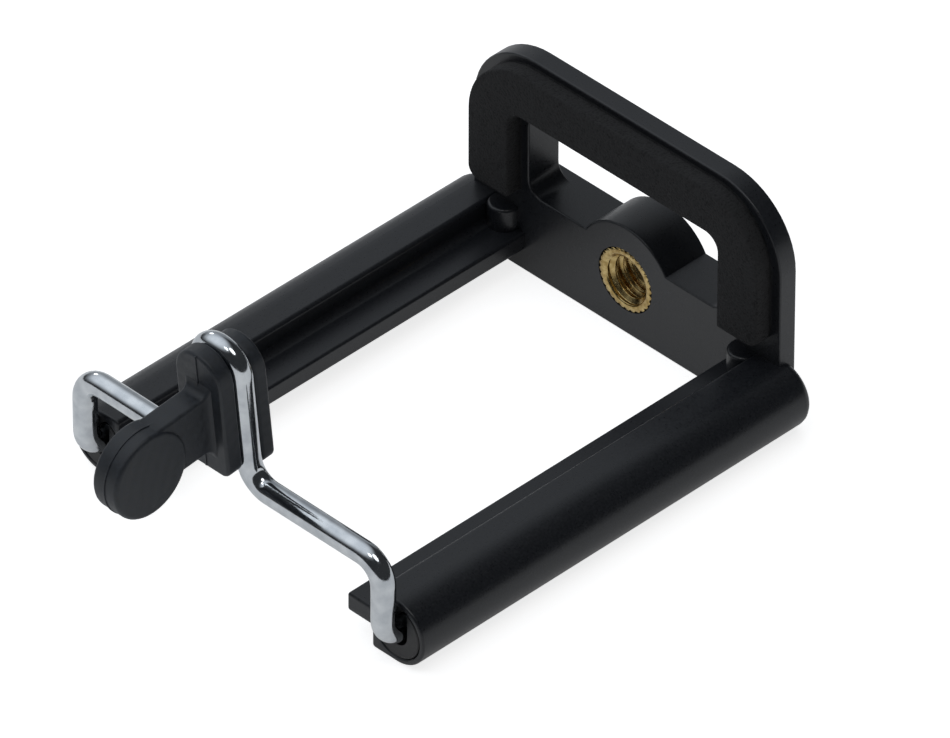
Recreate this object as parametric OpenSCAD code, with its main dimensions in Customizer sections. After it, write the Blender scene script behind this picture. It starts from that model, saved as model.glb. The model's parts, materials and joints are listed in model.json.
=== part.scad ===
// Spring-loaded phone clamp: the head that screws onto a selfie stick.
// The origin is the middle of the tripod thread. +X is right, +Y points away from the phone
// towards the stick, and +Z points from the rails up to the top of the arch. Millimetres.

/* [Rails] */
// Clear width between the two phone ledges
gap_w = 31.2; // [30:0.2:34]
// Length of the rails in front of the cross wall
reach = 58.2; // [54:0.2:64]
// Outer diameter of a rail tube
rail_d = 8.4; // [8.4:0.1:9]
// Diameter of the bore that holds a spring
bore_d = 7; // [6.9:0.1:7.2]
// Width of a ledge, from its tip to the step up to the rail
ledge_w = 4.4; // [4:0.1:5]
// Thickness of a ledge
ledge_t = 2.4; // [2:0.1:2.6]
// Drop from the top of a rail to the top of its ledge
ledge_drop = 3.1; // [2.8:0.1:3.2]

/* [Cross wall] */
// Depth of the insert and of the wall up to the insert's back face
wall_d = 5.6; // [5.2:0.1:6.4]
// How far the wall and the boss stand out behind the insert
wall_more = 0.8; // [0.4:0.1:0.9]
// Radius of the boss round the insert
boss_r = 7.3; // [6.9:0.1:7.6]
// Height of the wall's top edge above the thread's axis
sill_z = 3.8; // [3.4:0.1:4.4]
// Outer diameter of the knurled insert
insert_d = 8.2; // [8:0.1:8.6]
// Minor diameter of the 1/4-20 tripod thread
thread_d = 5.2; // [5:0.1:5.3]

/* [Arch] */
// Outer width of the arch
arch_w = 47.4; // [46.4:0.2:48.4]
// Height of the arch's top above the thread's axis
arch_z = 22.5; // [21:0.5:25]
// Thickness of the arch's face plate
arch_t = 2.6; // [2.2:0.1:3]
// Outer corner radius of the arch
arch_r = 9.5; // [8:0.1:10]
// Width of the window
window_w = 30.2; // [29:0.2:31]
// Height of the window's top edge above the thread's axis
window_z = 14.8; // [13.8:0.1:15.2]
// Thickness of the foam pad
foam_t = 2.2; // [1.6:0.1:3]

/* [Bail] */
// Diameter of the chromed wire
wire_d = 2.8; // [2.6:0.1:2.9]
// Distance of the upright wires in front of the rails
wire_out = 1.9; // [1.8:0.1:2.4]
// Height of the cross bar above the tube centres
rise = 10.3; // [10:0.1:12]
// Half the distance between the two wires of the hump
hump_x = 2.9; // [2.8:0.1:3.2]
// Height of the hump's arc centre above the cross bar
hump_h = 15; // [14:0.5:17]
// Forward lean of the hump and the jaw, in degrees
lean = 5.5; // [0:0.5:7]

/* [Jaw] */
// Width of the two rubber flanges
jaw_w = 7; // [6.6:0.1:7.4]
// Diameter of the round finger tab
tab_d = 10.8; // [10:0.2:12]
// Thickness of the finger tab
tab_t = 3.8; // [3.4:0.1:4.2]
// Distance of the tab's centre in front of the wire
tab_y = 13; // [12.5:0.5:15]

/* [Hidden] */
$fn = 64;
SIDES = [-1, 1];

// Cross wall and rails
front_y = -wall_d / 2;
back_y = wall_d / 2;
wall_back = back_y + wall_more;
rail_front = front_y - reach;
rail_back = front_y + 1.8;
rail_r = rail_d / 2;
rail_z = rail_r - boss_r;
rail_top = rail_z + rail_r;
rail_low = rail_z - rail_r;
tip_x = gap_w / 2;
step_x = tip_x + ledge_w;
tube_x = step_x + 3.1;
skirt_x = tip_x + 3.8;
ledge_top = rail_top - ledge_drop;
cove_r = 1;
end_round = 1.2;
bore_end = rail_back - 2.2;
knuckle_r = 2;
knuckle_x = step_x - 1.4;

// Arch and foam
rim_w = 1.6;
rim_d = 4.9;
window_r = 2;
window_low = sill_z;
tape_t = 0.2;
foam_margin = 1.35;
foam_top = 0.8;
foam_r = arch_r - 1;
foam_inset = 1.1;
foot_round = 1.5;

// Insert
mouth_r = 3.3;
mouth_d = 0.6;

// Bail
wire_r = wire_d / 2;
wire_y = rail_front - wire_out;
bar_z = rail_z + rise;
foot_r = 2.8;
bend_r = 3;
head_r = 2.1;
head_l = 1.2;
lap = 0.5;
// The wire is drawn very slightly thinner where the hump is bent up from it
drawn = 0.02;
leg_end = bore_end - 1;
washer_t = 0.8;
washer_r = 3.3;
washer_y = leg_end - head_l - washer_t;

// End plugs and springs
plug_l = 8;
plug_r = bore_d / 2 - 0.05;
plug_in = rail_front + plug_l;
slot_w = 3.4;
slot_d = 1.6;
spring_r = 3.2;
spring_bore = 2.45;
slip = 0.1;

// Jaw, in the leaning plane of the hump
jaw_r = jaw_w / 2;
face_y = -3.65;
seat_y = -wire_r;
grip_y = wire_r;
rear_y = 3.3;
core_r = hump_x - wire_r;
snug = 0.05;
tab_z = 9;
tab_round = 1;
stem_t = 3.2;
stem_h = 7.7;
stem_z = 10.15;
flange_low = 2.8;
rear_low = 1.6;
flare_r = 1.2;
flange_r = 1.2;

// A rod along +Y from y0 to y1, centred on x and z
module rod(x, y0, y1, z, r) {
    translate([x, y1, z])
        rotate([90, 0, 0])
            cylinder(h = y1 - y0, r = r);
}

// A flat outline in X and Z, given thickness from y0 to y1
module plate(y0, y1) {
    translate([0, y1, 0])
        rotate([90, 0, 0])
            linear_extrude(height = y1 - y0)
                children();
}

// A rectangle from (-w/2, z0) to (w/2, z1) with round top and bottom corners
module round_box(w, z0, z1, r_top, r_low) {
    translate([-w / 2, z0 + r_low])
        square([w, z1 - z0 - r_top - r_low]);
    if (w > 2 * r_top)
        translate([-w / 2 + r_top, z0 + r_low])
            square([w - 2 * r_top, z1 - z0 - r_low]);
    translate([-w / 2 + r_low, z0])
        square([w - 2 * r_low, z1 - z0 - r_top]);
    for (s = SIDES) {
        if (r_top > 0)
            translate([s * (w / 2 - r_top), z1 - r_top])
                circle(r_top);
        if (r_low > 0)
            translate([s * (w / 2 - r_low), z0 + r_low])
                circle(r_low);
    }
}

// Section of the right rail: round tube outside, ledge for the phone inside
module rail_section() {
    translate([tube_x, rail_z])
        circle(rail_r);
    polygon([
        [step_x, rail_top],
        [tube_x, rail_top],
        [tube_x, rail_low],
        [skirt_x, rail_low],
        [skirt_x, ledge_top - ledge_t],
        [tip_x, ledge_top - ledge_t],
        [tip_x, ledge_top],
        [step_x, ledge_top]
    ]);
    // Cove in the corner between the ledge and the step
    difference() {
        translate([step_x - cove_r, ledge_top])
            square(cove_r);
        translate([step_x - cove_r, ledge_top + cove_r])
            circle(cove_r);
    }
}

// The right rail, with its back end rounded over
module rail() {
    plate(rail_front, rail_back - end_round)
        rail_section();
    translate([tube_x, rail_back - end_round, rail_z])
        rotate([-90, 0, 0])
            rotate_extrude() {
                square([rail_r - end_round, end_round]);
                intersection() {
                    translate([rail_r - end_round, 0])
                        circle(end_round);
                    square(rail_r);
                }
            }
    translate([knuckle_x, front_y - 0.2, ledge_top - ledge_t])
        cylinder(h = rail_top - ledge_top + ledge_t, r = knuckle_r);
}

module frame() {
    color("#22242a")
        difference() {
            union() {
                for (s = [0, 1])
                    mirror([s, 0, 0])
                        rail();
                // Cross wall and boss
                plate(front_y, wall_back)
                    translate([-window_w / 2 - rim_w, rail_low])
                        square([window_w + 2 * rim_w, sill_z - rail_low]);
                plate(front_y, front_y + arch_t)
                    translate([-tube_x, rail_low])
                        square([2 * tube_x, rail_top - rail_low]);
                rod(0, front_y, wall_back, 0, boss_r);
                // Arch plate, and the deeper rim round the window
                difference() {
                    union() {
                        plate(front_y, front_y + arch_t)
                            round_box(arch_w, rail_z, arch_z, arch_r, 0);
                        plate(front_y, front_y + rim_d)
                            round_box(window_w + 2 * rim_w, rail_z, window_z + rim_w,
                                window_r + rim_w, 0);
                    }
                    difference() {
                        plate(front_y - 1, wall_back + 1)
                            round_box(window_w, window_low, window_z, window_r, window_r);
                        rod(0, front_y, wall_back, 0, boss_r);
                    }
                }
            }
            for (s = SIDES)
                rod(s * tube_x, rail_front - 1, bore_end, rail_z, bore_d / 2);
            rod(0, front_y - 1, wall_back + 1, 0, insert_d / 2);
        }
}

// Outline of the foam: an arch with two legs
module foam_outline() {
    difference() {
        round_box(arch_w - 2 * foam_margin, sill_z, arch_z - foam_top, foam_r, foot_round);
        round_box(window_w + 2 * foam_inset, sill_z - 5, window_z + foam_inset, 2, 0);
    }
}

module foam_tape() {
    color("#3a3d40")
        plate(front_y - tape_t, front_y)
            foam_outline();
}

module foam_pad() {
    color("#2c2e31")
        plate(front_y - tape_t - foam_t, front_y - tape_t)
            foam_outline();
}

// Brass insert: a plain bore at the thread's minor diameter, countersunk at both mouths
module tripod_insert() {
    color("#b79a5e")
        difference() {
            rod(0, front_y, back_y, 0, insert_d / 2);
            rod(0, front_y - 1, back_y + 1, 0, thread_d / 2);
            for (s = SIDES)
                translate([0, s * back_y, 0])
                    rotate([90 * s, 0, 0])
                        cylinder(h = mouth_d, r1 = mouth_r, r2 = thread_d / 2);
        }
}

// One quarter bend of the wire, in the XY plane, centred on the origin
module bend(r, wire) {
    rotate_extrude(angle = 90)
        translate([r, 0])
            circle(wire);
}

// Places its children in the leaning plane, with the cross bar's axis as their X axis
module leaning() {
    translate([0, wire_y, bar_z])
        rotate([lean, 0, 0])
            children();
}

// The hump that carries the jaw, right half, from inside the cross bar to the middle of its top
module half_hump(wire) {
    translate([hump_x + bend_r, 0, 0])
        rotate([0, 90, 0])
            cylinder(h = lap, r = wire);
    translate([hump_x + bend_r, 0, bend_r])
        rotate([90, 0, 0])
            rotate([0, 0, 180])
                bend(bend_r, wire);
    translate([hump_x, 0, bend_r])
        cylinder(h = hump_h - bend_r, r = wire);
    translate([0, 0, hump_h])
        rotate([90, 0, 0])
            bend(hump_x, wire);
}

// Right half of the bail: leg in the rail, upright, half the cross bar and half the hump
module half_bail() {
    rod(tube_x, wire_y + foot_r, leg_end, rail_z, wire_r);
    rod(tube_x, leg_end - head_l, leg_end, rail_z, head_r);
    translate([tube_x, wire_y + foot_r, rail_z + foot_r])
        rotate([90, 0, 90])
            rotate([0, 0, 180])
                bend(foot_r, wire_r);
    translate([tube_x, wire_y, rail_z + foot_r])
        cylinder(h = rise - foot_r - bend_r, r = wire_r);
    translate([tube_x - bend_r, wire_y, bar_z - bend_r])
        rotate([90, 0, 0])
            bend(bend_r, wire_r);
    translate([hump_x + bend_r, wire_y, bar_z])
        rotate([0, 90, 0])
            cylinder(h = tube_x - hump_x - 2 * bend_r, r = wire_r);
    leaning()
        half_hump(wire_r - drawn);
}

module wire_bail() {
    color("#c9ccd1")
        for (s = [0, 1])
            mirror([s, 0, 0])
                half_bail();
}

// The round finger tab, on its edge, with its rim rounded over
module finger_tab() {
    r = tab_d / 2;
    translate([0, -tab_y, tab_z])
        rotate([0, 90, 0])
            rotate_extrude() {
                translate([0, -tab_t / 2])
                    square([r - tab_round, tab_t]);
                translate([0, tab_round - tab_t / 2])
                    square([r, tab_t - 2 * tab_round]);
                for (s = SIDES)
                    translate([r - tab_round, s * (tab_t / 2 - tab_round)])
                        circle(tab_round);
            }
}

// The web between the front flange and the tab, flared where it meets the flange
module stem() {
    translate([-stem_t / 2, 0, stem_z])
        rotate([90, 0, 90])
            linear_extrude(height = stem_t) {
                translate([-tab_y, -stem_h / 2])
                    square([tab_y + face_y, stem_h]);
                difference() {
                    translate([face_y - flare_r, -stem_h / 2 - flare_r])
                        square([flare_r, stem_h + 2 * flare_r]);
                    for (s = SIDES)
                        translate([face_y - flare_r, s * (stem_h / 2 + flare_r)])
                            circle(flare_r);
                }
            }
}

module jaw_grip() {
    color("#3b4350")
        leaning() {
            plate(face_y, seat_y)
                round_box(jaw_w, flange_low, hump_h + 0.5 + jaw_r, jaw_r, flange_r);
            plate(grip_y, rear_y)
                round_box(jaw_w, rear_low, hump_h - 0.7 + jaw_r, jaw_r, flange_r);
            plate(seat_y, grip_y)
                round_box(2 * core_r, flange_low, hump_h + core_r, core_r, 0);
            stem();
            finger_tab();
        }
}

// End plug of one rail, bored for the wire, with a slot that seats the wire's bend
module end_plug(side) {
    x = side * tube_x;
    color("#26282c")
        difference() {
            rod(x, rail_front, plug_in, rail_z, plug_r);
            rod(x, rail_front - 1, plug_in + 1, rail_z, wire_r + slip);
            rod(x, rail_front - 1, rail_front + slot_d, rail_z, slot_w / 2);
            translate([x - slot_w / 2, rail_front - 1, rail_z])
                cube([slot_w, slot_d + 1, rail_r]);
        }
}

// Outer shape of one compression spring
module spring(side) {
    color("#9aa0a6")
        difference() {
            rod(side * tube_x, plug_in, washer_y, rail_z, spring_r);
            rod(side * tube_x, plug_in - 1, washer_y + 1, rail_z, spring_bore);
        }
}

module stop_washer(side) {
    color("#b9bcc0")
        difference() {
            rod(side * tube_x, washer_y, washer_y + washer_t, rail_z, washer_r);
            rod(side * tube_x, washer_y - 1, washer_y + washer_t + 1, rail_z, wire_r + snug);
        }
}

frame();
foam_tape();
foam_pad();
tripod_insert();
wire_bail();
jaw_grip();
end_plug(-1);  // left_end_plug
end_plug(1);  // right_end_plug
spring(-1);  // left_spring
spring(1);  // right_spring
stop_washer(-1);  // left_stop_washer
stop_washer(1);  // right_stop_washer
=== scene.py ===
# %% [markdown]
# # A spring clamp that holds a phone on a selfie stick
#
# The real object is a black moulded frame: two hollow rails, a low cross wall with a brass
# thread in it, and an arch faced with foam. A chromed wire bail slides in the rails against
# two hidden springs, and carries a rubber jaw with a round finger tab.
#
# The CAD frame that is loaded here is right in every size. This lesson gives it its looks.
# Each cell says what a piece is, how it could be made in Blender, and why it is made this way.

# %% Load the fixed frame
import json
import math

import bmesh
import bpy
import numpy as np
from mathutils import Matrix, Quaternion, Vector

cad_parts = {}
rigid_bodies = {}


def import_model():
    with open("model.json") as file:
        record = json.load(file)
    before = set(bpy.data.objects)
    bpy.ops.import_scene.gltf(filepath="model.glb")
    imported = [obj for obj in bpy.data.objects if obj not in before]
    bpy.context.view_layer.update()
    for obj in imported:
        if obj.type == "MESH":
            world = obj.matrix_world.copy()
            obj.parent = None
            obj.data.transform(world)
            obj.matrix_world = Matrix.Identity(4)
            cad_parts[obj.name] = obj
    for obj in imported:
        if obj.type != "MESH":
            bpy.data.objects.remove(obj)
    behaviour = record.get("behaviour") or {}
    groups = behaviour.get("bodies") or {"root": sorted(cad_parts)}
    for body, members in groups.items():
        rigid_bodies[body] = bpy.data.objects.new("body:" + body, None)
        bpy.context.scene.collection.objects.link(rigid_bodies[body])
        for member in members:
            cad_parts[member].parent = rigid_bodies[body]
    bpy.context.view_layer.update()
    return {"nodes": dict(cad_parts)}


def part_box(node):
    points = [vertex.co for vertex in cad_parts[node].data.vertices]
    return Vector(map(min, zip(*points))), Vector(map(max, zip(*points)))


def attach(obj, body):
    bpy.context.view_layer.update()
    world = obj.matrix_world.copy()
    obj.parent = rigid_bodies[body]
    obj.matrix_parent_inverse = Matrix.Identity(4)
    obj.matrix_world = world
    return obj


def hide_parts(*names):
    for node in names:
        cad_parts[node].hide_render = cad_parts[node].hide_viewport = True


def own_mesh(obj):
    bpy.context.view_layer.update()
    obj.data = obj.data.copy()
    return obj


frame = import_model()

scene = bpy.context.scene
print("frame nodes:", ", ".join(sorted(frame["nodes"])))

# %% [markdown]
# ## Sizes
#
# Everything is worked out in millimetres and turned into metres at the last moment, when a
# mesh is made. Places come from the boxes of the CAD nodes. The sizes that no box shows, such
# as a wall's thickness or a corner's radius, repeat the CAD source's own values.

# %% Sizes in millimetres
MM = 0.001
SIDES = (("left", -1), ("right", 1))


def box_mm(node):
    """Lowest and highest corner of a CAD node at rest, as two arrays in millimetres."""
    low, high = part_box(node)
    return np.array(low) / MM, np.array(high) / MM


frame_low, frame_high = box_mm("frame")
plug_low, plug_high = box_mm("right_end_plug")
insert_low, insert_high = box_mm("tripod_insert")
foam_low, foam_high = box_mm("foam_pad")

# The rails
tube_x = (plug_low[0] + plug_high[0]) / 2
tube_z = (plug_low[2] + plug_high[2]) / 2
rail_r = tube_z - frame_low[2]
rail_front, rail_low, rail_top = frame_low[1], frame_low[2], tube_z + rail_r
rail_back, bore_end, bore_r = -1.0, -3.2, 3.5
step_x, tip_x, skirt_x = 20.0, 15.6, 19.4
ledge_top, ledge_low = -2.0, -4.4

# The cross wall and the arch
wall_front, wall_back = insert_low[1], frame_high[1]
sill_z, boss_r, insert_r = 3.8, 7.3, insert_high[0]
arch_x, arch_z, arch_r, arch_back = 23.7, frame_high[2], 9.5, wall_front + 2.6
window_x, window_z, window_r = 15.1, 14.8, 2.0
rim_x, rim_z, rim_r, rim_back = 16.7, 16.4, 3.6, wall_front + 4.9

# The wire
wire_r = 1.4
leg_end = box_mm("wire_bail")[1][1]
upright_y = rail_front - 1.9
bar_z = tube_z + 10.3
lean = math.radians(5.5)
print(f"rails {2 * rail_r:.1f} mm across, wire {2 * wire_r:.2f} mm, cross bar at z {bar_z:.1f} mm")

# %% [markdown]
# ## The camera
#
# The clamp is seen from high on its front right, through a very long lens. Both rails keep
# nearly the same size and stay nearly parallel, and only a long lens far away does that.
# The camera is turned by its yaw and pitch, and then rolls a little about its own axis.

# %% Camera
yaw, pitch, roll = math.radians(45.12), math.radians(38.288), math.radians(0.117)
camera_data = bpy.data.cameras.new("studio_camera")
camera_data.lens, camera_data.sensor_width = 606.3, 36.0
camera_data.clip_start, camera_data.clip_end = 0.05, 20.0
camera = bpy.data.objects.new("studio_camera", camera_data)
camera.location = (0.97287, -0.99490, 1.08431)
camera.rotation_mode = "QUATERNION"
level = Quaternion((0, 0, 1), yaw) @ Quaternion((1, 0, 0), math.pi / 2 - pitch)
camera.rotation_quaternion = level @ Quaternion((0, 0, 1), roll)
scene.collection.objects.link(camera)
scene.camera = camera
print(f"camera {camera.location.length:.2f} m away")

# %% [markdown]
# ## Small tools for meshes
#
# A new piece is a surface worked out with numpy: a grid of points that is a function of two
# parameters. One function turns a grid into corners and faces, and another turns several of
# them into one object. Nothing loops over single corners.

# %% Grids to meshes


def grid(points, wrap_rows=False, caps=False):
    """Corners and faces of a grid of points with shape (rows, columns, 3). Columns are
    joined end to end, rows too with wrap_rows. caps close the first and the last row."""
    rows, columns = points.shape[:2]
    index = np.arange(rows * columns).reshape(rows, columns)
    if wrap_rows:
        index = np.vstack([index, index[:1]])
    index = np.hstack([index, index[:, :1]])
    quads = np.stack([index[:-1, :-1], index[:-1, 1:], index[1:, 1:], index[1:, :-1]], axis=-1)
    faces = quads.reshape(-1, 4).tolist()
    if caps:
        faces += [list(range(columns))[::-1], list(range((rows - 1) * columns, rows * columns))]
    return points.reshape(-1, 3), faces


def mesh_object(name, parts, smooth_angle=35):
    """One object from several (corners, faces) pairs in millimetres. Doubled corners are
    merged, faces turn outwards, and edges sharper than smooth_angle stay sharp."""
    corners = np.concatenate([own for own, _ in parts]) * MM
    starts = np.cumsum([0] + [len(own) for own, _ in parts])
    faces = [[i + start for i in face] for (_, own), start in zip(parts, starts) for face in own]
    mesh = bpy.data.meshes.new(name)
    mesh.from_pydata(corners.tolist(), [], faces)
    made = bpy.data.objects.new(name, mesh)
    scene.collection.objects.link(made)
    return finished(made, smooth_angle)


def finished(made, smooth_angle):
    """Merges doubled corners, turns the faces outwards and shades them smooth."""
    shape = bmesh.new()
    shape.from_mesh(made.data)
    bmesh.ops.remove_doubles(shape, verts=shape.verts, dist=1e-7)
    bmesh.ops.recalc_face_normals(shape, faces=shape.faces)
    shape.to_mesh(made.data)
    shape.free()
    made.data.shade_smooth()
    made.data.set_sharp_from_angle(angle=math.radians(smooth_angle))
    return made


def dressed(piece, material, body, slot, *nodes):
    """Gives a piece its material, the body that it rides on and the nodes that it replaces."""
    piece.data.materials.clear()
    piece.data.materials.append(material)
    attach(piece, body)
    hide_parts(*nodes)
    print(f"{piece.name}: {len(piece.data.polygons)} faces")


# %% [markdown]
# ## Outlines, plates and turned shapes
#
# Most of this object is flat outlines with round corners, given a thickness. An outline is a
# list of corners, each with its radius, and it can be asked for at an inset. A plate or a
# stepped ring is then a stack of the same outline at different insets and depths, so that all
# its edges come out rounded, as they do from a real mould. Every inset gives the same number
# of points, in the same order, and this is what lets the rows be joined by quads.

# %% Outlines and what is made from them


def outline(corners, inset=0.0, arc_steps=14, side_steps=6):
    """Points of a closed outline in X and Z, anticlockwise. corners holds (x, z, radius) for
    each corner. Every side moves inwards by inset, and an arc tangent to both its sides
    replaces each corner: an outer corner's radius shrinks by inset, an inner one's grows."""
    corners = np.array(corners, float)
    place, radius = corners[:, :2], corners[:, 2]
    leaving = np.roll(place, -1, axis=0) - place
    leaving /= np.linalg.norm(leaving, axis=1)[:, None]
    coming = np.roll(leaving, 1, axis=0)
    crossed = coming[:, 0] * leaving[:, 1] - coming[:, 1] * leaving[:, 0]
    turn = np.arctan2(crossed, (coming * leaving).sum(axis=1))
    into_coming, into_leaving = (np.stack([-d[:, 1], d[:, 0]], axis=1) for d in (coming, leaving))
    both = into_coming + into_leaving
    moved = place + inset * both / (1 + (into_coming * into_leaving).sum(axis=1))[:, None]
    r = np.where(turn > 0, np.maximum(radius - inset, 0.02), radius + inset)
    reach = r * np.tan(np.abs(turn) / 2)
    spoke = -into_coming * (np.sign(turn) * r)[:, None]
    centre = moved - coming * reach[:, None] - spoke
    across = np.stack([-spoke[:, 1], spoke[:, 0]], axis=1)
    angle = turn[:, None, None] * np.linspace(0, 1, arc_steps)[None, :, None]
    arcs = centre[:, None] + spoke[:, None] * np.cos(angle) + across[:, None] * np.sin(angle)
    share = np.linspace(0, 1, side_steps + 1)[None, 1:-1, None]
    sides = arcs[:, -1:] * (1 - share) + np.roll(arcs, -1, axis=0)[:, :1] * share
    return np.concatenate([arcs, sides], axis=1).reshape(-1, 2)


def box_corners(half_width, low, high, top_r, low_r):
    """The four corners of an upright box, for outline()."""
    return [(half_width, high, top_r), (-half_width, high, top_r),
            (-half_width, low, low_r), (half_width, low, low_r)]


def rounding(radius, steps=4):
    """(inset, depth) pairs of a rounded edge, from the flat face round to the side wall."""
    angle = np.radians(np.linspace(0, 90, steps + 1))
    return np.stack([radius * (1 - np.sin(angle)), radius * (1 - np.cos(angle))], axis=1)


def plate(corners, front, back, edge):
    """A plate from y = front to y = back, with both its rims rounded by edge."""
    rim = rounding(edge)
    rows = [np.insert(outline(corners, inset), 1, front + depth, axis=1) for inset, depth in rim]
    rows += [np.insert(outline(corners, inset), 1, back - depth, axis=1) for inset, depth in rim[::-1]]
    return grid(np.array(rows), caps=True)


def turned(section, axis, centre, around=96, wrap_rows=False):
    """A section of (radius, place along the axis) pairs turned round an axis, which is X, Y
    or Z through the point centre. It is closed by caps, or on itself with wrap_rows."""
    radius, along = np.array(section, float).T
    angle = np.linspace(0, 2 * np.pi, around, endpoint=False)
    points = np.zeros((len(radius), around, 3))
    points[..., axis] = along[:, None]
    points[..., (axis + 1) % 3] = radius[:, None] * np.cos(angle)
    points[..., (axis + 2) % 3] = radius[:, None] * np.sin(angle)
    return grid(points + np.array(centre, float), wrap_rows=wrap_rows, caps=not wrap_rows)


def disc_section(radius, low, high, edge):
    """Section of a disc whose two rims are rounded by edge, for turned()."""
    inset, depth = rounding(edge).T
    start = np.stack([radius - inset, low + depth], axis=1)
    end = np.stack([radius - inset, high - depth], axis=1)[::-1]
    return np.concatenate([start, end])


# %% [markdown]
# ## Joining and cutting
#
# Blender's exact Boolean joins closed shells into one skin, so that a moulding made of simple
# shapes has no walls hidden inside it. The result is applied at once, and a Weighted Normal
# modifier keeps the flats flat beside the small rounded edges.

# %% Booleans


def joined(name, solids, cuts=(), smooth_angle=32):
    """One object from closed (corners, faces) solids, united, and then less the cuts."""
    made = mesh_object(name, solids[:1])
    for kind, others in (("UNION", solids[1:]), ("DIFFERENCE", cuts)):
        if not others:
            continue
        tools = bpy.data.collections.new("tools")
        for other in others:
            tool = mesh_object("tool", [other])
            scene.collection.objects.unlink(tool)
            tools.objects.link(tool)
        knife = made.modifiers.new("knife", "BOOLEAN")
        knife.operation, knife.solver = kind, "EXACT"
        knife.operand_type, knife.collection = "COLLECTION", tools
        settle(made)
        for tool in list(tools.objects):
            bpy.data.objects.remove(tool)
        bpy.data.collections.remove(tools)
    finished(made, smooth_angle)
    flats = made.modifiers.new("flat_faces", "WEIGHTED_NORMAL")
    flats.keep_sharp, flats.weight = True, 100
    return made


def settle(made):
    """Applies an object's modifiers to its mesh."""
    seen = made.evaluated_get(bpy.context.evaluated_depsgraph_get())
    mesh = bpy.data.meshes.new_from_object(seen)
    made.modifiers.clear()
    made.data = mesh


# %% [markdown]
# ## Small tools for materials
#
# Colours are written as the hex values that a colour picker shows, and one function turns
# them into the linear values that Blender works in. One function adds a node, whatever its
# kind, with its settings, values and links. Every pattern reads Object coordinates in metres,
# so a pattern's scale is one over its size in metres.

# %% Colours and nodes


def linear(code):
    """An sRGB hex colour as linear red, green, blue and alpha."""
    srgb = np.array([int(code[i:i + 2], 16) for i in (1, 3, 5)]) / 255
    low, high = srgb / 12.92, ((srgb + 0.055) / 1.055) ** 2.4
    return (*np.where(srgb <= 0.04045, low, high).tolist(), 1.0)


def add(tree, kind, values=None, links=None, **settings):
    """Adds one node: its settings, the values of its sockets, and links into its sockets."""
    made = tree.nodes.new(kind)
    for name, value in settings.items():
        setattr(made, name, value)
    for socket, value in (values or {}).items():
        made.inputs[socket].default_value = value
    for socket, source in (links or {}).items():
        tree.links.new(source, made.inputs[socket])
    return made


def ramp(tree, height, dark, light, low=0.3, high=0.7):
    """A colour that goes from dark to light as a pattern's height goes from low to high."""
    made = add(tree, "ShaderNodeValToRGB", links={"Fac": height})
    for element, place, colour in zip(made.color_ramp.elements, (low, high), (dark, light)):
        element.position, element.color = place, linear(colour)
    return made.outputs["Color"]


def spread(tree, height, low, high):
    """A number that goes from low to high as a pattern's height goes from 0.3 to 0.7."""
    values = {"From Min": 0.3, "From Max": 0.7, "To Min": low, "To Max": high}
    return add(tree, "ShaderNodeMapRange", values, {"Value": height}).outputs["Result"]


def noise(tree, place, size_mm, detail=3.0):
    """Height of a noise whose lumps are size_mm across."""
    values = {"Scale": 1 / (size_mm * MM), "Detail": detail}
    return add(tree, "ShaderNodeTexNoise", values, {"Vector": place}).outputs["Fac"]


def bump(tree, height, depth_mm, strength=1.0, under=None):
    """Normals of a relief that is depth_mm deep, on top of the normals under it."""
    links = {"Height": height} if under is None else {"Height": height, "Normal": under}
    values = {"Strength": strength, "Distance": depth_mm * MM}
    return add(tree, "ShaderNodeBump", values, links).outputs["Normal"]


def new_material(name, **even):
    """A material, its Principled shader with the values that are even all over set on its
    own sockets, and the Object coordinates that its patterns read."""
    material = bpy.data.materials.new(name)
    material.use_nodes = True
    tree = material.node_tree
    shader = tree.nodes["Principled BSDF"]
    for socket, value in even.items():
        shader.inputs[socket.replace("_", " ")].default_value = value
    place = add(tree, "ShaderNodeTexCoord").outputs["Object"]
    return material, tree, shader, place


def wire_up(tree, shader, **sources):
    """Links sources into the shader's sockets."""
    for socket, source in sources.items():
        tree.links.new(source, shader.inputs[socket.replace("_", " ")])


# %% [markdown]
# ## Black ABS
#
# The frame is injection moulded ABS from a polished tool: a deep blue-black body under a soft
# gloss. A noise of 0.25 mm is the skin that the tool leaves, and it changes the colour, the
# roughness and the relief together. A broad noise of 7 mm is the sink in the thick walls: it
# makes long reflections waver, which tells the eye that this is plastic and not glass.

# %% Material: moulded ABS
abs_black, tree, shader, place = new_material("moulded_abs_black", IOR=1.5)
skin, sinks = noise(tree, place, 0.25), noise(tree, place, 7, detail=1.0)
relief = bump(tree, skin, 0.006, 0.5, under=bump(tree, sinks, 0.10, 0.3))
wire_up(tree, shader, Base_Color=ramp(tree, skin, "#1a1c20", "#232529"),
        Roughness=spread(tree, skin, 0.27, 0.38), Normal=relief)
print("made", abs_black.name)

# %% [markdown]
# ## Black nylon
#
# The end plugs are small nylon mouldings from a plain tool. They are more matt than the frame
# and a little warmer, which sets them off as pieces of their own in the mouths of the rails.

# %% Material: moulded nylon
nylon_black, tree, shader, place = new_material("moulded_nylon_black", IOR=1.53)
skin = noise(tree, place, 0.3)
wire_up(tree, shader, Base_Color=ramp(tree, skin, "#131315", "#1b1b1d"),
        Roughness=spread(tree, skin, 0.40, 0.52), Normal=bump(tree, skin, 0.01, 0.5))
print("made", nylon_black.name)

# %% [markdown]
# ## Closed-cell foam
#
# The pad is die-cut from black foam sheet. Its skin is a crowd of open and closed bubbles, so
# there are two scales: a cell pattern of 0.32 mm, whose walls stand up as a fine grain, and
# a noise of 0.9 mm that groups the cells into lighter and darker clouds. It has almost no
# gloss, and this is what parts it from the plastic behind it.

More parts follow.
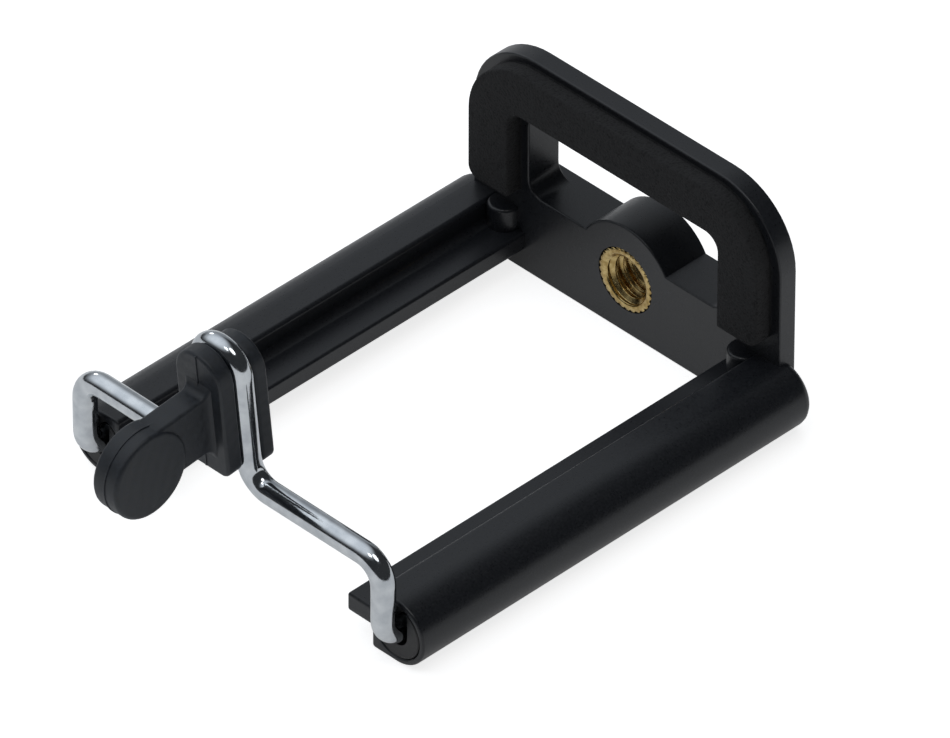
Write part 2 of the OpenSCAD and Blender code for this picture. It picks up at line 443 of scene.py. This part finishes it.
# %% Material: foam
foam, tree, shader, place = new_material("closed_cell_foam", Roughness=0.9, IOR=1.4)
cell_mm = 0.32
values = {"Scale": 1 / (cell_mm * MM)}
cells = add(tree, "ShaderNodeTexVoronoi", values, {"Vector": place}).outputs["Distance"]
clouds, grain = noise(tree, place, 0.9), noise(tree, place, 0.16, detail=2.0)
height = add(tree, "ShaderNodeMath", links={0: cells, 1: grain}, operation="ADD").outputs["Value"]
mixed = add(tree, "ShaderNodeMath", links={0: cells, 1: clouds}, operation="ADD").outputs["Value"]
wire_up(tree, shader, Base_Color=ramp(tree, mixed, "#0c0c0d", "#2b2b2c", 0.3, 1.1),
        Normal=bump(tree, height, 0.09, 0.8))
print("made", foam.name)

# %% [markdown]
# ## Adhesive tape
#
# Only the edge of the tape shows, as a thin smooth line between the foam and the arch. It is
# dark film with a faint mottle of glue, smoother than the foam.

# %% Material: tape
tape, tree, shader, place = new_material("adhesive_tape_film", IOR=1.47)
glue = noise(tree, place, 0.8)
wire_up(tree, shader, Base_Color=ramp(tree, glue, "#131415", "#1f2021"),
        Roughness=spread(tree, glue, 0.35, 0.55))
print("made", tape.name)

# %% [markdown]
# ## Turned brass
#
# The insert is cut from brass bar and has dulled in the air. A noise of 0.6 mm moves it
# between yellow and brown, and the duller places are rougher, as thin tarnish is.

# %% Material: brass
brass, tree, shader, place = new_material("turned_brass", Metallic=1.0)
tarnish, scratches = noise(tree, place, 0.6), noise(tree, place, 0.12)
wire_up(tree, shader, Base_Color=ramp(tree, tarnish, "#a78a52", "#dcc48a"),
        Roughness=spread(tree, tarnish, 0.16, 0.28), Normal=bump(tree, scratches, 0.006, 0.5))
print("made", brass.name)

# %% [markdown]
# ## Chromed wire
#
# Bright chrome over drawn steel wire. Plating follows the die lines and dents of the wire
# under it, so the reflections run along the wire but aren't straight. A noise of 1.6 mm gives
# that shallow relief, and a fine one clouds the polish a little.

# %% Material: chrome
chrome, tree, shader, place = new_material("chromed_steel_wire", Metallic=1.0)
dents, haze = noise(tree, place, 1.6, detail=2.0), noise(tree, place, 0.3)
wire_up(tree, shader, Base_Color=ramp(tree, dents, "#c3c8cd", "#dde1e4"),
        Roughness=spread(tree, haze, 0.07, 0.16), Normal=bump(tree, dents, 0.03, 0.35))
print("made", chrome.name)

# %% [markdown]
# ## Moulded rubber
#
# The jaw is a dark blue-grey rubber. Its tool was spark eroded, so the skin is a fine even
# grain. The tab also shows the curved lines in which the rubber ran into its mould: rings
# 1.6 mm apart round a point beside the flange, bent by a strong distortion, and so faint that
# only the gloss finds them.

# %% Material: rubber
rubber, tree, shader, place = new_material("moulded_rubber", IOR=1.5)
bloom = noise(tree, place, 0.5, detail=4.0)
gate_y, gate_z, flow_gap = -62, 10, 1.6
centred = {"Location": (0, -gate_y * MM, -gate_z * MM)}
gate = add(tree, "ShaderNodeMapping", centred, {"Vector": place}).outputs["Vector"]
values = {"Scale": 0.32 / (flow_gap * MM), "Distortion": 5.0, "Detail": 1.0, "Detail Scale": 0.3}
rings = {"wave_type": "RINGS", "rings_direction": "X"}
flow = add(tree, "ShaderNodeTexWave", values, {"Vector": gate}, **rings).outputs["Fac"]
wire_up(tree, shader, Base_Color=ramp(tree, bloom, "#1d2126", "#282d34"),
        Roughness=spread(tree, bloom, 0.42, 0.56),
        Normal=bump(tree, bloom, 0.02, 0.5, under=bump(tree, flow, 0.06, 0.3)))
print("made", rubber.name)

# %% [markdown]
# ## Spring steel and zinc
#
# Neither shows while the clamp is whole, but each is a real piece. Spring wire is grey and
# only half bright, with drawing marks. Zinc plating is lighter and broken into small flakes.

# %% Materials: spring steel and zinc plate
spring_steel, tree, shader, place = new_material("drawn_spring_steel", Metallic=1.0)
marks = noise(tree, place, 0.2, detail=2.0)
wire_up(tree, shader, Base_Color=ramp(tree, marks, "#7d8085", "#a3a6aa"),
        Roughness=spread(tree, marks, 0.25, 0.4))

zinc, tree, shader, place = new_material("zinc_plated_steel", Metallic=1.0)
flakes = add(tree, "ShaderNodeTexVoronoi", {"Scale": 1 / (0.5 * MM)}, {"Vector": place}).outputs["Distance"]
wire_up(tree, shader, Base_Color=ramp(tree, flakes, "#a7abae", "#c3c6c9"),
        Roughness=spread(tree, flakes, 0.3, 0.45))
print("made", spring_steel.name, "and", zinc.name)

# %% [markdown]
# ## The frame moulding
#
# One injection moulding. It could be modelled by hand from a box with many loop cuts, but its
# bores and its round boss are cleaner as simple shells that are joined:
#
# - each rail is one section, stacked along its length. The bore is part of the same skin,
#   with its points at the same angles as the section's, so that the mouth is an even ring;
# - the arch is a stepped ring: one row of points after another is led round its section, from
#   the window to the outer edge, back along the deeper rim and to the window again;
# - the cross wall, the boss and the two posts beside the wall are rounded plates and discs.
#
# Edges are rounded by 0.2 to 0.3 mm, as in any moulding, and this thin round is what catches
# the light along the rails.


# %% The shells of the frame
def rail(side):
    """A rail as rows along Y: the end of the bore, the bore, the mouth, the front edge, the
    outside and the rounded back. side is 1 for the right rail and -1 for the left one."""
    outer_x = frame_high[0]
    corners = [(outer_x, rail_top, rail_r), (step_x, rail_top, 0.5), (step_x, ledge_top, 1.0),
               (tip_x, ledge_top, 0.35), (tip_x, ledge_low, 0.35), (skirt_x, ledge_low, 0.3),
               (skirt_x, rail_low, 0.4), (outer_x, rail_low, rail_r)]
    spoke = outline(corners) - (tube_x, tube_z)
    spoke /= np.linalg.norm(spoke, axis=1)[:, None]
    mouth = 0.15
    bore = [(bore_r, bore_end), (bore_r, rail_front + mouth), (bore_r + mouth, rail_front)]
    rows = [np.insert((tube_x, tube_z) + radius * spoke, 1, y, axis=1) for radius, y in bore]
    rows += [np.insert(outline(corners, i), 1, rail_front + d, axis=1) for i, d in rounding(0.3)]
    rows += [np.insert(outline(corners, i), 1, rail_back - d, axis=1) for i, d in rounding(1.1)[::-1]]
    return grid(np.array(rows) * (side, 1, 1), caps=True)


def arch():
    """The arch as a ring whose section has a step: the face plate and the deeper rim."""
    low = rail_low + 0.01
    outer = box_corners(arch_x, low, arch_z, arch_r, 0.6)
    rim = box_corners(rim_x, low + 0.6, rim_z, rim_r, 0.6)
    window = box_corners(window_x, sill_z, window_z, window_r, window_r)
    edge = rounding(0.22)
    stations = [(window, -i, wall_front + d) for i, d in edge[::-1]]
    stations += [(outer, i, wall_front + d) for i, d in edge]
    stations += [(outer, i, arch_back - d) for i, d in rounding(0.35)[::-1]]
    stations += [(rim, 0.0, arch_back)]
    stations += [(rim, i, rim_back - d) for i, d in rounding(0.3)[::-1]]
    stations += [(window, -i, rim_back - d) for i, d in rounding(0.3)]
    rows = [np.insert(outline(corners, inset), 1, y, axis=1) for corners, inset, y in stations]
    return grid(np.array(rows), wrap_rows=True)


def cross_wall():
    """The cross wall behind the arch's face, the boss and the two posts at the rails."""
    hair = 0.005
    corners = box_corners(rim_x - 0.02, rail_low + 0.02, sill_z - hair, 0.2, 0.4)
    wall = plate(corners, -1.5, wall_back, 0.3)
    boss = turned(disc_section(boss_r, wall_front + hair, wall_back, 0.25), 1, (0, 0, 0))
    post = disc_section(2.0, ledge_low + 0.05, rail_top - 0.05, 0.4)
    return [wall, boss] + [turned(post, 2, (sign * 18.6, -3.0, 0), 48) for _, sign in SIDES]


seat = turned([(insert_r, wall_front - 1), (insert_r, wall_back + 1)], 1, (0, 0, 0))
moulding = joined("frame_moulding", [rail(1), rail(-1), arch(), *cross_wall()], cuts=[seat])
dressed(moulding, abs_black, "frame_body", "black_abs", "frame")

# %% [markdown]
# ## The end plugs
#
# Each rail is closed by a round plug that guides the wire. It is bored for the wire, and a
# slot runs up its face from the bore, because the wire's bend sinks into it at rest. The plug
# is a rounded disc, and the bore and the slot are cut from it.

# %% End plugs
for side, sign in SIDES:
    x, plug_r, slot_w = sign * tube_x, plug_high[0] - tube_x, 3.4
    body = turned(disc_section(plug_r, plug_low[1], plug_high[1], 0.25), 1, (x, 0, tube_z))
    hole_r = wire_r + 0.1
    hole = [(hole_r, plug_low[1] - 1), (hole_r, plug_high[1] + 1)]
    bore = turned(hole, 1, (x, 0, tube_z), 48)
    low, high = tube_z - slot_w / 2, tube_z + 2 * plug_r
    corners = np.array(box_corners(slot_w / 2, low, high, 0.1, slot_w / 2 - 0.01)) + (x, 0, 0)
    slot = plate(corners, plug_low[1] - 1, plug_low[1] + 1.6, 0.05)
    plug = joined(f"{side}_plug", [body], cuts=[bore, slot])
    dressed(plug, nylon_black, "frame_body", "plug_plastic", f"{side}_end_plug")

# %% [markdown]
# ## The foam pad
#
# A flat n-shape, die-cut from sheet, on the front of the arch. The cutter leaves the outer
# edges crisp and drags the skin down a little towards them, so the face is crowned by a tenth
# of a millimetre. The same outline at growing insets gives both: the first rows turn the
# edge, and the later ones climb the crown. The tape behind it is the CAD node itself.


# %% Foam pad and tape
def foam_surface(edge=0.25, crown=0.12):
    """Rows of the pad's outline from its back to the middle of its face. At inset s the face
    has risen by crown * (1 - (1 - s / half)^2), where half is half the width of a leg."""
    half = 2.7
    x, leg_x, top, gap_top = foam_high[0], window_x + 1.1, foam_high[2], window_z + 1.1
    low = foam_low[2]
    corners = [(x, top, arch_r - 1), (-x, top, arch_r - 1), (-x, low, 1.5), (-leg_x, low, 0.3),
               (-leg_x, gap_top, 2.0), (leg_x, gap_top, 2.0), (leg_x, low, 0.3), (x, low, 1.5)]
    stations = [(0.05, foam_high[1]), (0.0, foam_high[1] - 0.05)]
    stations += [(i, foam_low[1] + crown + d) for i, d in rounding(edge)[::-1]]
    inset = np.linspace(edge, half, 12)[1:]
    rise = crown * (1 - (1 - (inset - edge) / (half - edge)) ** 2)
    stations += list(zip(inset, foam_low[1] + crown - rise))
    rows = [np.insert(outline(corners, i, side_steps=24), 1, y, axis=1) for i, y in stations]
    return grid(np.array(rows), caps=True)


pad = mesh_object("foam_arch_pad", [foam_surface()], 50)
dressed(pad, foam, "frame_body", "foam", "foam_pad")

tape_node = frame["nodes"]["foam_tape"]
tape_node.data.materials.clear()
tape_node.data.materials.append(tape)

# %% [markdown]
# ## The brass insert
#
# A knurled brass nut moulded into the boss, with the coarse tripod thread: 20 turns to the
# inch, so one turn in 1.27 mm. It could be a screw modifier on a tooth, but a surface of
# revolution with a moving radius makes the knurl and the thread in one closed skin.


# %% Threaded insert
def insert_surface(around=288, teeth=28, pitch=1.27, minor=2.6, major=3.15, mouth=3.3):
    """A section carried round the Y axis: front face, knurled outside, back face and bore.
    The bore's radius swings between the minor and major radius with the phase
    y / pitch - angle / full turn, which is a right-hand helix."""
    angle = np.linspace(0, 2 * np.pi, around, endpoint=False)
    front, back, depth_of_knurl = insert_low[1], insert_high[1], 0.3
    tooth = insert_r - depth_of_knurl * (1 - np.abs(np.sin(teeth * angle / 2)) ** 0.7)
    inner, outer = mouth + 0.1, insert_r - 0.5
    rows = [(inner, front), (outer, front), (tooth - 0.12, front), (tooth, front + 0.12)]
    rows += [(tooth, back - 0.12), (tooth - 0.12, back), (outer, back), (inner, back)]
    y = np.linspace(back - 0.05, front + 0.05, 150)
    phase = (y[:, None] / pitch - angle[None] / (2 * np.pi)) % 1
    flank = np.clip((np.abs(phase - 0.5) - 0.125) / 0.3, 0, 1)
    countersink = mouth - np.minimum(y - front, back - y) * (mouth - minor) / 0.6
    thread = np.maximum(major - (major - minor) * flank, countersink[:, None])
    radius = np.concatenate([[np.broadcast_to(r, around) for r, _ in rows], thread])
    along = np.concatenate([[place for _, place in rows], y])[:, None] + 0 * radius
    points = np.stack([radius * np.sin(angle), along, radius * np.cos(angle)], axis=-1)
    return grid(points, wrap_rows=True)


insert = mesh_object("threaded_insert", [insert_surface()], 50)
dressed(insert, brass, "frame_body", "brass", "tripod_insert")

# %% [markdown]
# ## The wire bail
#
# One length of 2.8 mm wire, bent seven times. It could be a curve with a bevel, but a swept
# ring gives a closed mesh whose ends can be headed: each leg ends in a peened head that holds
# its washer. The path is straight stretches and quarter circles, right half first, and the
# left half is its mirror image. The hump in the middle leans forward by 5.5 degrees.


# %% Paths and tubes
def tube(path, radius, sides=24):
    """A round tube along a path of (n, 3) points. radius is a number or one per point. The
    ring is carried without twist: its side direction is the last station's, less the part
    that lies along the new direction."""
    ahead = np.gradient(path, axis=0)
    ahead /= np.linalg.norm(ahead, axis=1)[:, None]
    side, last = np.zeros_like(path), np.array([0.6, 0.0, 0.8])
    for station, direction in enumerate(ahead):
        last = last - direction * (last @ direction)
        last /= np.linalg.norm(last)
        side[station] = last
    other = np.cross(ahead, side)
    angle = np.linspace(0, 2 * np.pi, sides, endpoint=False)[None, :, None]
    ring = side[:, None] * np.cos(angle) + other[:, None] * np.sin(angle)
    return grid(path[:, None] + ring * np.broadcast_to(radius, len(path))[:, None, None], caps=True)


def leaned(points):
    """Points of the hump's upright plane, tilted forward about the cross bar's axis."""
    x, y, z = np.asarray(points).T
    forward = upright_y + y * math.cos(lean) - z * math.sin(lean)
    return np.stack([x, forward, bar_z + y * math.sin(lean) + z * math.cos(lean)], axis=1)


def arc(centre, first, second, radius, steps=14):
    """A quarter circle round centre, from the direction first to the direction second."""
    angle = np.linspace(0, np.pi / 2, steps)[:, None]
    return np.array(centre) + radius * (np.cos(angle) * first + np.sin(angle) * second)


def straight(a, b, step=0.5):
    """Points on a straight line from a to b, both ends left out."""
    count = max(int(np.linalg.norm(b - a) / step), 2)
    return np.linspace(a, b, count + 2)[1:-1]


# %% Wire bail
foot_r, bend_r, hump_x, hump_h = 2.8, 3.0, 2.9, 15.0
head_l, head_r = 1.0, 2.05
hump_thin = 0.03  # the hump is drawn this much thinner, so that its top stays inside the CAD piece


def half_path():
    """The right half of the wire's centreline, from the end of its leg to the hump's top."""
    right, back, up = np.eye(3)
    foot = arc((tube_x, upright_y + foot_r, tube_z + foot_r), -up, -back, foot_r)
    corner = arc((tube_x - bend_r, upright_y, bar_z - bend_r), right, up, bend_r)
    low = leaned(arc((hump_x + bend_r, 0, bend_r), -up, -right, bend_r))
    top = leaned(arc((0, 0, hump_h), right, up, hump_x))
    end = np.array([tube_x, leg_end, tube_z])
    return np.concatenate([
        end[None], straight(end, foot[0]), foot, straight(foot[-1], corner[0]), corner,
        straight(corner[-1], low[0]), low, straight(low[-1], top[0]), top])


right_half = half_path()
wire_path = np.concatenate([right_half, right_half[:-1][::-1] * (-1, 1, 1)])
wire_radii = np.where(leg_end - wire_path[:, 1] < head_l, head_r, wire_r)
wire_radii[[0, -1]] = head_r - 0.2
wire_radii[wire_path[:, 2] > bar_z + bend_r] -= hump_thin
wire = mesh_object("chromed_wire_bail", [tube(wire_path, wire_radii, 32)], 60)
dressed(wire, chrome, "bail_body", "chromed_wire", "wire_bail")
print("wire length", round(float(np.linalg.norm(np.diff(wire_path, axis=0), axis=1).sum())), "mm")

# %% [markdown]
# ## Springs and washers
#
# Each leg carries a compression spring between its plug and its washer. Pulling the jaw out
# closes the coils. Here the spring is made at rest, and it rides on the frame. A spring's end
# coils lie tight and its other coils are evenly open.

# %% Springs and washers
pull, gauge, turns = 30.0, 0.74, 17
for side, sign in SIDES:
    low, high = box_mm(f"{side}_spring")
    length, coil_r = high[1] - low[1], (high[0] - low[0] - gauge) / 2
    t = np.linspace(0, turns, turns * 28)
    closed = gauge * 1.7
    heights = [gauge / 2, closed, length - closed, length - gauge / 2]
    travel = np.interp(t, [0, 1.2, turns - 1.2, turns], heights)
    around = 2 * np.pi * t
    across, up = coil_r * np.cos(around), coil_r * np.sin(around)
    helix = np.stack([sign * tube_x + across, low[1] + travel, tube_z + up], axis=1)
    spring = mesh_object(f"{side}_coil_spring", [tube(helix, gauge / 2, 10)], 60)
    dressed(spring, spring_steel, "frame_body", "spring_steel", f"{side}_spring")
    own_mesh(spring)

    low, high = box_mm(f"{side}_stop_washer")
    ring = disc_section(high[0] - sign * tube_x, low[1], high[1], 0.15)
    hole = [(wire_r + 0.05, high[1]), (wire_r + 0.05, low[1])]
    surface = turned([*ring, *hole], 1, (sign * tube_x, 0, tube_z), wrap_rows=True)
    washer = mesh_object(f"{side}_washer", [surface])
    dressed(washer, zinc, "bail_body", "washer_steel", f"{side}_stop_washer")

# %% [markdown]
# ## The rubber jaw
#
# One rubber moulding, pushed onto the hump of the wire: a flange in front of the wire, one
# behind it, a core between its two runs, a web, and a round tab for the finger. Rubber tools
# part along the middle, and a little rubber creeps into the joint: the thin flash round the
# tab's rim and down the flange is that line. All of it is drawn upright and then leaned.

# %% Rubber jaw
jaw_x, flange_top, tab_y, tab_z, tab_t = 3.5, 19.0, -13.0, 9.0, 3.8
web_z, web_h, web_t, flange_y, rear_y = 10.15, 7.7, 3.2, -3.65, 3.3
tab_r, flash_t, gap = 5.3, 0.24, 0.02


def web():
    """The web's section carried from inside the tab to the flange. It grows by a quarter
    circle of 1.2 mm in height, and by a third of that in thickness, as it meets the flange."""
    flare_r = 1.2
    flare_y = flange_y - flare_r * np.cos(np.linspace(0.1, 1.57, 10))
    y = np.concatenate([np.linspace(tab_y, flange_y - flare_r, 4), flare_y])
    near = np.clip(1 - (flange_y - y) / flare_r, 0, 1)
    grow = flare_r * (1 - np.sqrt(1 - near ** 2))
    rows = []
    for at, g in zip([*y, flange_y + 0.5], [*grow, grow[-1]]):
        corners = box_corners(web_t / 2 + g / 3, web_z - web_h / 2 - g, web_z + web_h / 2 + g, 0.4, 0.4)
        rows.append(np.insert(outline(corners), 1, at, axis=1))
    return grid(np.array(rows), caps=True)


def jaw_solids():
    """The jaw's closed solids, leaned into place."""
    front = plate(box_corners(jaw_x, 2.8, flange_top, jaw_x - 0.01, 1.2), flange_y, -wire_r - gap, 0.4)
    rear = plate(box_corners(jaw_x, 1.6, 17.8, jaw_x - 0.01, 1.2), wire_r + gap, rear_y, 0.4)
    core_x = hump_x - wire_r - gap
    core = plate(box_corners(core_x, 2.9, 16.4, core_x - 0.01, 0.3), flange_y + 1, rear_y - 1, 0.05)
    tab = turned(disc_section(tab_r, -tab_t / 2, tab_t / 2, 0.5), 0, (0, tab_y, tab_z))
    tab_flash = turned(disc_section(tab_r + 0.1, -flash_t / 2, flash_t / 2, 0.05), 0, (0, tab_y, tab_z))
    line_corners = box_corners(flash_t / 2, 3.1, flange_top - 0.15, 0.05, 0.05)
    line = plate(line_corners, flange_y - 0.1, flange_y + 0.3, 0.05)
    solids = (front, rear, core, web(), tab, tab_flash, line)
    return [(leaned(corners), faces) for corners, faces in solids]


jaw = joined("rubber_jaw", jaw_solids(), smooth_angle=40)
dressed(jaw, rubber, "bail_body", "jaw_rubber", "jaw_grip")

# %% [markdown]
# ## Studio
#
# A pale sheet under the clamp and a wide soft light over it. Black gloss plastic shows little
# of its own colour: its surfaces are as light as what they mirror. So the air glows in one
# wide patch overhead on the left and in a faint low one at the back left, and is dim
# everywhere else. That leaves the rails' outer sides nearly black and lifts every face that
# looks up. Three round lamps add the bright spots that chrome shows on its bends.
#
# The sheet is bright to the camera and dimmer to the object, as a white sheet is that runs
# far beyond the lit patch.

# %% Floor, air and lamps
floor_mesh = bpy.data.meshes.new("studio_floor")
reach, under = 4.0, frame_low[2] * MM
square = ((-reach, -reach), (reach, -reach), (reach, reach), (-reach, reach))
floor_mesh.from_pydata([(x, y, under) for x, y in square], [], [(0, 1, 2, 3)])
floor = bpy.data.objects.new("studio_floor", floor_mesh)
scene.collection.objects.link(floor)
paper, tree, shader, place = new_material("white_paper_sweep", Roughness=0.9)
shader.inputs["Base Color"].default_value = (0.75, 0.75, 0.75, 1)
shader.inputs["Emission Color"].default_value = (1, 1, 1, 1)
seen = add(tree, "ShaderNodeLightPath").outputs["Is Camera Ray"]
lit = add(tree, "ShaderNodeMapRange", {"To Min": 0.27, "To Max": 0.80}, {"Value": seen}).outputs["Result"]
wire_up(tree, shader, Emission_Strength=lit)
floor_mesh.materials.append(paper)

world = bpy.data.worlds.new("studio_air")
scene.world = world
world.use_nodes = True
tree = world.node_tree
direction = add(tree, "ShaderNodeTexCoord").outputs["Generated"]


def patch(towards, start, stop, glow):
    """A soft patch of light round a direction. It begins where the cosine to that direction
    is start, and reaches glow where the cosine is stop."""
    near = add(tree, "ShaderNodeVectorMath", {1: towards}, {0: direction}, operation="DOT_PRODUCT")
    values = {"From Min": start, "From Max": stop, "To Min": 0.0, "To Max": glow}
    links = {"Value": near.outputs["Value"]}
    return add(tree, "ShaderNodeMapRange", values, links, interpolation_type="SMOOTHSTEP").outputs["Result"]


overhead = patch((-0.5, -0.15, 0.85), 0.55, 0.98, 0.87)
behind = patch((-0.7, 0.7, 0.1), 0.75, 0.97, 0.32)
both = add(tree, "ShaderNodeMath", links={0: overhead, 1: behind}, operation="ADD").outputs["Value"]
base_glow = 0.035
dim = add(tree, "ShaderNodeMath", {1: base_glow}, {0: both}, operation="ADD").outputs["Value"]
tree.links.new(dim, tree.nodes["Background"].inputs["Strength"])
tree.nodes["Background"].inputs["Color"].default_value = (0.93, 0.98, 1.04, 1)

for name, spot, size, power in (
    ("lamp_right", (0.47, -0.02, 1.1), 0.5, 1.5),
    ("lamp_front", (0.14, -0.49, 1.08), 0.3, 0.6),
    ("lamp_far_left", (-0.9, 0.35, 0.45), 0.2, 0.35),
):
    light = bpy.data.lights.new(name, "AREA")
    light.shape, light.size, light.energy = "DISK", size, power
    lamp = bpy.data.objects.new(name, light)
    lamp.location = spot
    lamp.rotation_euler = (-Vector(spot)).to_track_quat("-Z", "Y").to_euler()
    scene.collection.objects.link(lamp)

scene.view_settings.view_transform = "Standard"
